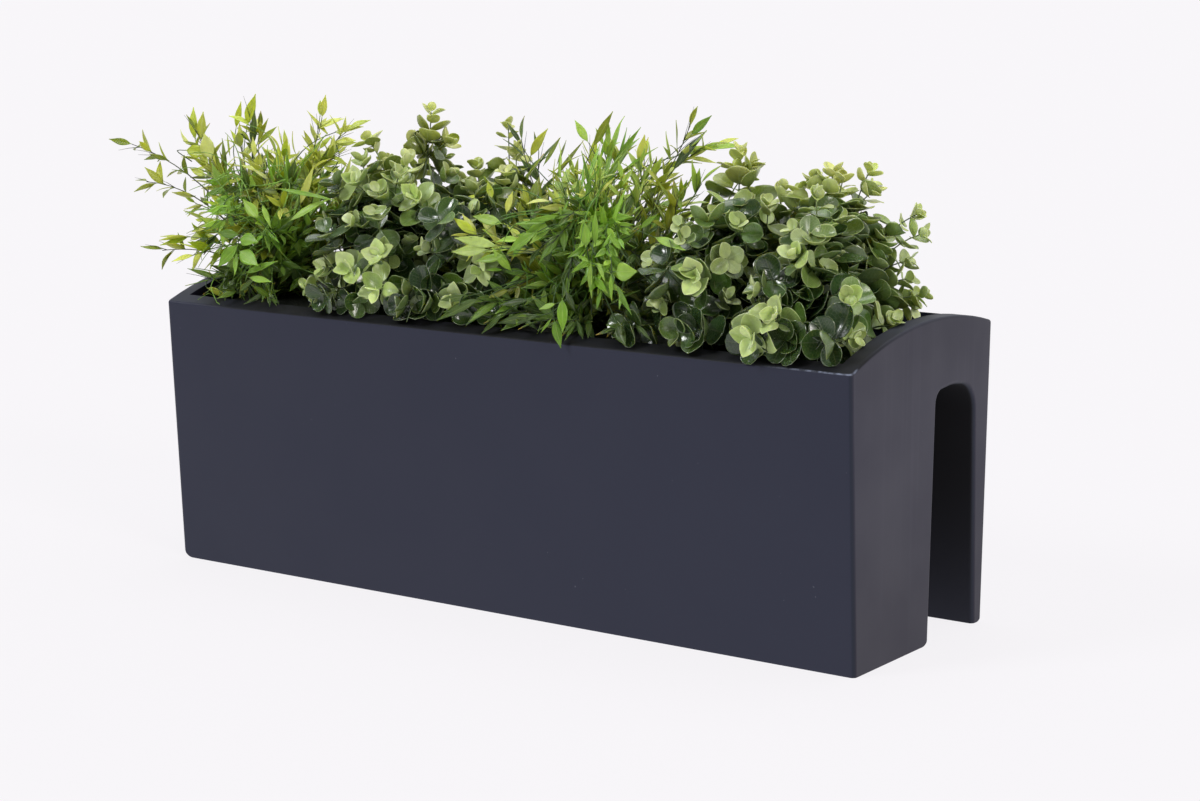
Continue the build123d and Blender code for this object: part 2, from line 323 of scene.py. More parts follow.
class Leaves:
    """Leaves of one kind, gathered one by one and turned into one mesh."""

    def __init__(self, kind):
        self.kind = kind
        self.t = T_ROUND if kind == "round" else T_LANCE
        self.rows = []

    def add(self, pos, axis, normal, L, W, fold, cup, curl, twist, ripple, tint, age, point=0.0):
        self.rows.append(
            (np.array(pos, float), np.array(axis, float), np.array(normal, float),
             L, W, fold, cup, curl, twist, ripple, tint, age, point)
        )

    def build(self, name, material, seed):
        rng = np.random.default_rng(seed)
        t = self.t
        n = len(self.rows)
        u, v, side = t["u"][None], t["v"][None], t["side"][None]
        col = lambda i: np.array([r[i] for r in self.rows])[:, None]
        pos, ax, nor = (np.array([r[i] for r in self.rows]) for i in range(3))
        ax /= np.linalg.norm(ax, axis=1)[:, None]
        X = np.cross(ax, nor)
        X /= np.maximum(np.linalg.norm(X, axis=1), 1e-6)[:, None]
        N = np.cross(X, ax)
        L, W, fold, cup, curl, twist, ripple, age = (col(i) for i in (3, 4, 5, 6, 7, 8, 9, 11))
        tint = np.array([r[10] for r in self.rows]) * ((0.96, 0.99, 0.84) if self.kind == "round" else (0.96, 1.0, 0.78))
        hw = half_width(self.kind, v, col(12))
        x = u * hw * 0.5 * W * L
        ph = rng.uniform(0, 6.28, (n, 1))
        h = fold * np.abs(x) + cup * (x**2 + ((v - 0.55) * L) ** 2) / L
        h = h + ripple * L * (np.abs(u) ** 2) * np.sin(v * 9.0 + ph)
        phi = np.where(np.abs(curl) < 1e-3, 1e-3, curl)
        yc = np.sin(phi * v) / phi * L
        zc = -(1 - np.cos(phi * v)) / phi * L
        tw = twist * v
        thick = 0.5 if self.kind == "round" else 0.4
        h = h + side * thick / 2
        xs, hs = x * np.cos(tw) - h * np.sin(tw), x * np.sin(tw) + h * np.cos(tw)
        # the cross-section leans with the curl of the midrib
        ly = yc + hs * np.sin(phi * v)
        lz = zc + hs * np.cos(phi * v)
        P = (
            pos[:, None, :]
            + xs[..., None] * X[:, None, :]
            + ly[..., None] * ax[:, None, :]
            + lz[..., None] * N[:, None, :]
        )
        P, ok = clear_of_box(P)
        P, tint, age = P[ok], tint[ok], age[ok]
        n = len(P)
        nv = P.shape[1]
        faces = t["faces"]
        F = (faces[None] + (np.arange(n) * nv)[:, None, None]).reshape(-1, 4)
        me = bpy.data.meshes.new(name)
        me.vertices.add(n * nv)
        me.vertices.foreach_set("co", (P.reshape(-1, 3) / 1000).astype(np.float32).ravel())
        me.loops.add(F.size)
        me.loops.foreach_set("vertex_index", F.ravel().astype(np.int32))
        me.polygons.add(len(F))
        me.polygons.foreach_set("loop_start", np.arange(0, F.size, 4, dtype=np.int32))
        me.polygons.foreach_set("use_smooth", np.ones(len(F), bool))
        me.update(calc_edges=True)
        # own place of each leaf: across and along, then a cell of the bake map
        lu, lv, ls = t["u"][faces], t["v"][faces], t["side"][faces]
        leaf_uv = np.stack([(lu + 1) / 2, lv], -1).reshape(-1, 2)
        cells = int(math.ceil(math.sqrt(n)))
        place = np.stack([(lu + 1) / 2 * 0.42 + 0.04 + (ls < 0) * 0.5, lv * 0.92 + 0.04], -1)
        cell = np.stack([np.arange(n) % cells, np.arange(n) // cells], -1)
        bake = (place[None] + cell[:, None, None, :]) / cells
        one = me.uv_layers.new(name="leaf")
        one.uv.foreach_set("vector", np.tile(leaf_uv, (n, 1)).astype(np.float32).ravel())
        two = me.uv_layers.new(name="OFBake")
        two.uv.foreach_set("vector", bake.astype(np.float32).ravel())
        me.uv_layers.active = one
        c = me.color_attributes.new("tint", "FLOAT_COLOR", "POINT")
        rgba = np.concatenate([np.repeat(tint, nv, axis=0), np.ones((n * nv, 1))], 1)
        c.data.foreach_set("color", rgba.astype(np.float32).ravel())
        a = me.attributes.new("age", "FLOAT", "POINT")
        a.data.foreach_set("value", np.repeat(age.ravel(), nv).astype(np.float32))
        sd = me.attributes.new("under", "FLOAT", "POINT")
        sd.data.foreach_set("value", np.tile((t["side"] < 0).astype(np.float32), n))
        me.validate()
        o = bpy.data.objects.new(name, me)
        bpy.context.scene.collection.objects.link(o)
        me.materials.append(material)
        print("LEAVES", name, n, len(F))
        return o


def clear_of_box(P):
    """Lifts a leaf that would pass through the rim, a wall or the foam, and says
    which leaves can stay."""
    x, y, z = P[..., 0], P[..., 1], P[..., 2]
    inside = (np.abs(x) < 379.0) & (y > -113.5) & (y < 113.0)
    over = (np.abs(x) < 402.0) & (y > -134.5) & (y < 134.5)
    floor = np.where(inside, foam_z(y) + 1.0, np.where(over, rim_z(y) + 0.8, -1e9))
    lift = np.maximum(floor - z, 0.0).max(axis=1)
    P = P.copy()
    P[..., 2] += np.where(lift < 9.0, lift, 0.0)[:, None]
    return P, lift < 9.0


# ------------------------------------------------------------------ stems
class Stems:
    def __init__(self):
        self.paths = []

    def add(self, pts, r0, r1, tint):
        self.paths.append((np.array(pts, float), r0, r1, tint))

    def build(self, name, material, sides=6):
        V, F, C = [], [], []
        base = 0
        for pts, r0, r1, tint in self.paths:
            n = len(pts)
            d = np.gradient(pts, axis=0)
            d /= np.maximum(np.linalg.norm(d, axis=1), 1e-9)[:, None]
            ref = np.array([0.3, 0.9, 0.2])
            A = np.cross(d, ref)
            A /= np.maximum(np.linalg.norm(A, axis=1), 1e-6)[:, None]
            for i in range(1, n):
                if A[i] @ A[i - 1] < 0:
                    A[i] = -A[i]
            B = np.cross(d, A)
            r = np.linspace(r0, r1, n)[:, None, None]
            ang = np.arange(sides) / sides * 2 * np.pi
            ring = pts[:, None, :] + r * (
                np.cos(ang)[None, :, None] * A[:, None, :] + np.sin(ang)[None, :, None] * B[:, None, :]
            )
            V.append(ring.reshape(-1, 3))
            for i in range(n - 1):
                for j in range(sides):
                    j2 = (j + 1) % sides
                    a = base + i * sides
                    F.append((a + j, a + sides + j, a + sides + j2, a + j2))
            F.append(tuple(base + j for j in range(sides)))
            F.append(tuple(base + (n - 1) * sides + j for j in range(sides - 1, -1, -1)))
            C.append(np.tile(np.r_[tint, 1.0], (n * sides, 1)))
            base += n * sides
        V = np.concatenate(V) / 1000
        me = bpy.data.meshes.new(name)
        me.from_pydata(V.tolist(), [], F)
        me.polygons.foreach_set("use_smooth", np.ones(len(me.polygons), bool))
        c = me.color_attributes.new("tint", "FLOAT_COLOR", "POINT")
        c.data.foreach_set("color", np.concatenate(C).astype(np.float32).ravel())
        me.materials.append(material)
        me.update()
        o = bpy.data.objects.new(name, me)
        bpy.context.scene.collection.objects.link(o)
        return o


def bezier(p0, p1, p2, p3, n):
    t = np.linspace(0, 1, n)[:, None]
    return (1 - t) ** 3 * p0 + 3 * (1 - t) ** 2 * t * p1 + 3 * (1 - t) * t**2 * p2 + t**3 * p3


def over_rim(pts):
    """Keeps a branch above the rim and the foam."""
    pts = pts.copy()
    for p in pts:
        inside = abs(p[0]) < 377 and -112 < p[1] < 111
        over = abs(p[0]) < 404 and abs(p[1]) < 136
        if inside:
            p[2] = max(p[2], foam_z(p[1]) - 2.0)
        elif over:
            p[2] = max(p[2], rim_z(p[1]) + 3.0)
    return pts


def along(pts, s):
    """Point and direction at arc length s from the tip."""
    seg = np.linalg.norm(np.diff(pts, axis=0), axis=1)
    c = np.r_[0, np.cumsum(seg)]
    q = np.clip(c[-1] - s, 0, c[-1])
    i = min(max(np.searchsorted(c, q) - 1, 0), len(seg) - 1)
    f = (q - c[i]) / max(seg[i], 1e-9)
    return pts[i] + (pts[i + 1] - pts[i]) * f, (pts[i + 1] - pts[i]) / max(seg[i], 1e-9)


def unit(v):
    v = np.array(v, float)
    return v / max(np.linalg.norm(v), 1e-9)


def perp(d, rng):
    a = np.cross(d, unit(rng.normal(size=3)))
    return unit(a)


def turn(v, axis, ang):
    axis = unit(axis)
    return v * math.cos(ang) + np.cross(axis, v) * math.sin(ang) + axis * (axis @ v) * (1 - math.cos(ang))


def lin(*c):
    return np.array(rgb(*c)[:3])


EUC_OLD = [lin(44, 76, 31), lin(58, 90, 37), lin(42, 72, 33), lin(66, 96, 40), lin(54, 82, 44)]
EUC_MID = [lin(104, 136, 52), lin(118, 142, 58), lin(90, 126, 50)]
EUC_NEW = [lin(200, 214, 152), lin(210, 222, 168), lin(184, 204, 128)]
BAM = {
    "yellow": [lin(184, 198, 64), lin(196, 206, 84), lin(164, 188, 50), lin(204, 208, 106)],
    "fresh": [lin(176, 200, 106), lin(186, 208, 122), lin(160, 192, 88)],
    "pale": [lin(208, 214, 122), lin(216, 222, 142), lin(192, 206, 102)],
    "olive": [lin(150, 160, 36), lin(130, 146, 28), lin(170, 176, 52), lin(112, 130, 26)],
    "green": [lin(124, 168, 48), lin(140, 184, 66), lin(106, 150, 38), lin(156, 194, 84)],
    "dark": [lin(80, 112, 34), lin(94, 126, 40), lin(62, 92, 30)],
}


def euc_tint(rng, age, painted_backlight=0.0):
    old, mid, new = (pal[rng.integers(len(pal))] for pal in (EUC_OLD, EUC_MID, EUC_NEW))
    tint = old + (mid - old) * min(age * 2, 1) + (new - mid) * max(age * 2 - 1, 0)
    # painted backlight: a warmer, more olive tint, weaker on young leaves
    tint = tint * (1 + painted_backlight * (1 - 0.75 * age) * np.array([0.58, 0.10, -0.80]))
    return tint * rng.uniform(0.84, 1.16)


def euc_sprig(leaves, stems, rng, path, leafy, size, young=0.35, rosette=False, blunt=0.0, r0=1.2, shade_gain=1.0):
    """A eucalyptus shoot: pairs of round leaves crossing at right angles, small
    and pale at the tip, large and dark lower down. A rosette ends in three open
    pairs of pale pointed leaves."""
    stems.add(path, r0, 0.55, lin(128, 148, 84) if rng.random() < 0.5 else lin(88, 108, 66))
    s, k = 1.0, 0
    _, d0 = along(path, 0.5)
    a = perp(d0, rng)
    while s < leafy:
        p, d = along(path, s)
        q = s + blunt
        f = min(q / 60.0, 1.0)
        L = size * (13.0 + 16.5 * min(f * 1.7, 1.0) ** 0.8) * rng.uniform(0.84, 1.14)
        tilt = math.radians(54 - 44 * min(q / 34.0, 1.0) + rng.normal() * 8)
        step = (4.5 if k == 0 else 8.0 if k == 1 else 11.0) * rng.uniform(0.85, 1.2) * size
        glow = 1.0
        if rosette and k < 3:
            glow = (1.20, 1.12, 1.0)[k]
            L = size * (17.5, 20.5, 23.0)[k] * rng.uniform(0.92, 1.08)
            tilt = math.radians((56, 34, 18)[k] + rng.normal() * 6)
            step = (2.5, 4.0, 9.0)[k] * size
        a = unit(a - d * (a @ d))
        for sgn in (1, -1):
            if k > 3 and rng.random() < 0.10:
                continue
            r = turn(a * sgn, d, rng.normal() * 0.18)
            ax = r * math.cos(tilt) + d * math.sin(tilt)
            ax = unit(ax + np.array([0, 0, -0.14 * f]) + rng.normal(size=3) * (0.09 + 0.12 * f))
            nor = unit(d + r * -0.2 + np.array([0, 0, 0.22]) + rng.normal(size=3) * (0.14 + 0.22 * f))
            age = float(np.clip(1.1 - q / (70.0 * young + 8.0) + rng.normal() * 0.1, 0, 1))
            if rosette and k < 3:
                age = float(np.clip((1.0, 0.92, 0.72)[k] + rng.normal() * 0.06, 0, 1))
            # painted backlight: leaves high up and towards the back are tinted warmer, more olive, as if lit through
            # from behind; the shade gain below darkens leaves as painted shade
            painted_backlight = float(np.clip((p[2] - 368) / 44, 0, 1) * np.clip((p[1] + 60) / 60, 0, 1))
            leaves.add(
                p + ax * 0.4, ax, nor, L, rng.uniform(0.78, 0.96) * (1 - 0.08 * (age > 0.7)),
                rng.uniform(0.05, 0.40), rng.normal() * 0.45 + 0.55, rng.normal() * 0.35 + 0.10,
                rng.normal() * 0.22, rng.uniform(0.0, 0.022) + 0.012 * (age > 0.7), euc_tint(rng, age, painted_backlight) * shade_gain * glow, age,
                float(np.clip(age * 1.1 - 0.15, 0, 0.85)) * (1.0 if rosette else 0.35),
            )
        a = turn(a, d, math.pi / 2 + rng.normal() * 0.2)
        s += step
        k += 1


def bam_sprig(leaves, stems, rng, path, leafy, size, hue="green", spikes=2, wide=1.0, dense=1.0, r0=1.0, droop=0.0, shade_gain=1.0, face=0.0):
    """A bamboo shoot: fans of pointed leaves at each node of a wiry stem, and
    needle-like unopened leaves at the tip."""
    stem_tint = {"dark": lin(52, 64, 46), "green": lin(84, 124, 56), "yellow": lin(104, 120, 58), "pale": lin(112, 128, 62), "fresh": lin(96, 128, 60), "olive": lin(70, 78, 44)}[hue]
    stems.add(path, r0, 0.4, stem_tint)
    _, d0 = along(path, 0.5)
    a = perp(d0, rng)
    s, k = 0.5, 0
    pal = BAM[hue]
    while s < leafy:
        p, d = along(path, s)
        a = unit(a - d * (a @ d))
        fan = 1 if k == 0 else int(rng.choice((1, 2, 2, 3)))
        for j in range(fan):
            spread = (j - (fan - 1) / 2) * rng.uniform(0.5, 0.9)
            r = turn(a, d, spread + rng.normal() * 0.15)
            tilt = math.radians(rng.uniform(30, 66) if k else 80)
            ax = unit(r * math.cos(tilt) + d * math.sin(tilt) + [0, 0, -droop] + rng.normal(size=3) * 0.08)
            nor = unit(np.cross(np.cross(ax, d), ax) + np.array([0, -0.2, 0.4]) + rng.normal(size=3) * 0.3)
            nor = unit(nor * (1 - face) + np.array([0.45, -0.85, 0.30]) * face + rng.normal(size=3) * 0.2)
            L = size * rng.uniform(20, 35) * (0.85 if k == 0 else 1.0)
            # painted shade: the leaf colour is scaled down by the shoot's shade gain
            c = pal[rng.integers(len(pal))] * rng.uniform(0.80, 1.18) * shade_gain
            age = float(np.clip(rng.beta(2, 3.4) + (0.22 if k < 2 else 0.0), 0, 1))
            leaves.add(
                p, ax, nor, L, wide * rng.uniform(0.24, 0.36), rng.uniform(0.08, 0.45), rng.uniform(-0.1, 0.2),
                rng.uniform(-0.2, 0.6), rng.normal() * 0.3, rng.uniform(0, 0.008), c, age,
            )
        a = turn(a, d, math.pi + rng.normal() * 0.35)
        s += rng.uniform(8, 14) * size / dense
        k += 1
    for _ in range(spikes):
        p, d = along(path, rng.uniform(0, min(leafy, 45)))
        ax = unit(d + perp(d, rng) * rng.uniform(0.1, 0.5))
        ln = rng.uniform(16, 32) * size
        q = p + ax * ln
        stems.add(over_rim(np.array([p, p + ax * ln * 0.5 + [0, 0, 0.6], q])), 0.42, 0.12, stem_tint * 0.9)


def tuft(leaves, rng, a, b, count, hue, spread=(8, 6, 4), length=(28, 50), lean=0.3):
    """Strap-like upright leaves crowded along a line from a to b."""
    a, b = np.array(a, float), np.array(b, float)
    pal = BAM[hue]
    for _ in range(count):
        p = a + (b - a) * rng.uniform(0, 1) + rng.normal(size=3) * np.array(spread)
        ax = unit(unit(b - a) + rng.normal(size=3) * lean)
        # painted shade: leaves are darker the lower they sit in the tuft
        dark = 0.55 + 0.45 * float(np.clip((p[2] - a[2]) / (b[2] - a[2]), 0, 1))
        nor = unit(np.array([rng.normal() * 0.7, -1.0, 0.2]))
        leaves.add(
            p, ax, nor, rng.uniform(*length), rng.uniform(0.07, 0.13), rng.uniform(0.1, 0.5), 0.0,
            rng.uniform(-0.4, 0.8), rng.normal() * 0.5, 0.004, pal[rng.integers(len(pal))] * rng.uniform(0.75, 1.15) * dark,
            float(rng.uniform(0.1, 0.5)),
        )


def single(leaves, rng, base, tip, width, hue):
    """One leaf laid from its base to its tip, its face turned to the front."""
    base, tip = np.array(base, float), np.array(tip, float)
    pal = BAM[hue]
    nor = unit(np.array([0.45, -0.85, 0.30]) + rng.normal(size=3) * 0.28)
    tone = {"dark": 0.55, "pale": 0.86, "fresh": 0.90, "green": 0.80, "yellow": 0.88, "olive": 0.84}[hue]
    leaves.add(
        base, unit(tip - base), nor, float(np.linalg.norm(tip - base)) * 1.06, width * 0.98, rng.uniform(0.15, 0.45), 0.1,
        rng.uniform(0.0, 0.5), rng.normal() * 0.25, 0.006, pal[rng.integers(len(pal))] * rng.uniform(0.88, 1.12) * tone,
        float(rng.uniform(0.1, 0.6)),
    )


def threads(stems, rng, starts, count, tint, reach=(35, 75), sag=14.0):
    """Thin bare runners that curve out from the stems."""
    for _ in range(count):
        a, b = starts[rng.integers(len(starts))]
        a, b = np.array(a, float), np.array(b, float)
        p0 = a + (b - a) * rng.uniform(0, 1) + rng.normal(size=3) * 6
        d = unit(np.array([rng.normal(), -abs(rng.normal()) * 0.8, rng.normal() * 0.6 + 0.25]))
        n = rng.uniform(*reach)
        side = perp(d, rng) * n * rng.uniform(0.1, 0.35)
        p3 = p0 + d * n + np.array([0, 0, -rng.uniform(0, sag)])
        path = bezier(p0, p0 + d * n * 0.35 + side, p3 - d * n * 0.3 + side + np.array([0, 0, 6.0]), p3, 12)
        path[:, 1] = np.maximum(path[:, 1], -133.0)
        stems.add(over_rim(path), rng.uniform(0.55, 0.9), 0.25, tint * rng.uniform(0.8, 1.15))


def even_tips(rng, box, bottom, count, taken, power=2.6):
    """Tips of shoots spread evenly over a rounded block, starting from the tips
    that are already taken, with the outward direction at each."""
    x0, x1, y0, y1, top = box
    c = np.array([(x0 + x1) / 2, (y0 + y1) / 2, bottom])
    r = np.array([(x1 - x0) / 2, (y1 - y0) / 2, top - bottom])
    d = rng.normal(size=(5000, 3))
    d /= np.linalg.norm(d, axis=1)[:, None]
    d = d[d[:, 2] > -0.10]
    k = (np.abs(d) ** power).sum(axis=1) ** (-1 / power)
    P = c + r * d * k[:, None]
    G = np.sign(d) * np.abs(d * k[:, None]) ** (power - 1) / r
    G /= np.linalg.norm(G, axis=1)[:, None]
    dist = np.full(len(P), 1e9)
    for t in taken:
        dist = np.minimum(dist, np.linalg.norm(P - np.array(t, float), axis=1))
    out = []
    for _ in range(count):
        i = int(np.argmax(dist * rng.uniform(0.9, 1.0, len(P))))
        out.append((P[i], G[i]))
        dist = np.minimum(dist, np.linalg.norm(P - P[i], axis=1))
    return out


def branch(foot, tip, d_tip, rng, n=14, rise=0.55, sway=6.0):
    """Curved branch from the collar of a bush to the tip of a shoot."""
    p0 = np.array([foot[0], foot[1], foam_z(foot[1]) + 3.0]) + rng.normal(size=3) * [3, 3, 0.5]
    p3 = np.array(tip, float)
    span = np.linalg.norm(p3 - p0)
    d_tip = unit(d_tip)
    p1 = p0 + np.array([0.18 * (p3[0] - p0[0]), 0.18 * (p3[1] - p0[1]), rise * span * 0.6])
    p1 = p1 + rng.normal(size=3) * sway
    p2 = p3 - d_tip * span * 0.38
    return over_rim(bezier(p0, p1, p2, p3, n))


